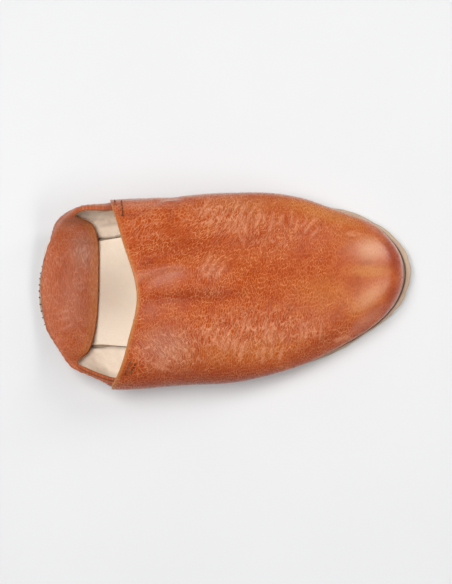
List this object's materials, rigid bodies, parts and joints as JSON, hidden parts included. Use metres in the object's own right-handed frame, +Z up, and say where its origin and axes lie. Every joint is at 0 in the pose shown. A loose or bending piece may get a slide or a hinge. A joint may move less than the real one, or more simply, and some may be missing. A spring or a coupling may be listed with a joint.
{
  "type": "babouche slipper",
  "caption": "Flat leather babouche slipper for the right foot, hollow vamp open at the throat, heel quarter trodden down over the insole.",
  "frame": {"origin": "on the ground under the middle of the slipper's own box", "axes": "+X towards the toe, +Y towards the inner side of the foot, +Z up"},
  "size_m": [0.27, 0.137, 0.0599],
  "materials": {
    "sole_leather": "natural undyed sole leather, matt, with a cut and rubbed edge",
    "insole_leather": "thin pale undyed leather, matt and smooth",
    "vamp_leather": "cognac tan leather, waxed to a soft gloss, with a fine crackled grain",
    "quarter_leather": "cognac tan leather, a little duller than the vamp, creased where it is trodden",
    "lining_leather": "thin pale lining skin, matt, softly wrinkled",
    "thread": "dark brown waxed linen thread"
  },
  "bodies": {
    "root": {"outsole": "sole_leather", "insole": "insole_leather", "vamp": "vamp_leather", "back_quarter": "quarter_leather"}
  },
  "joints": []
}
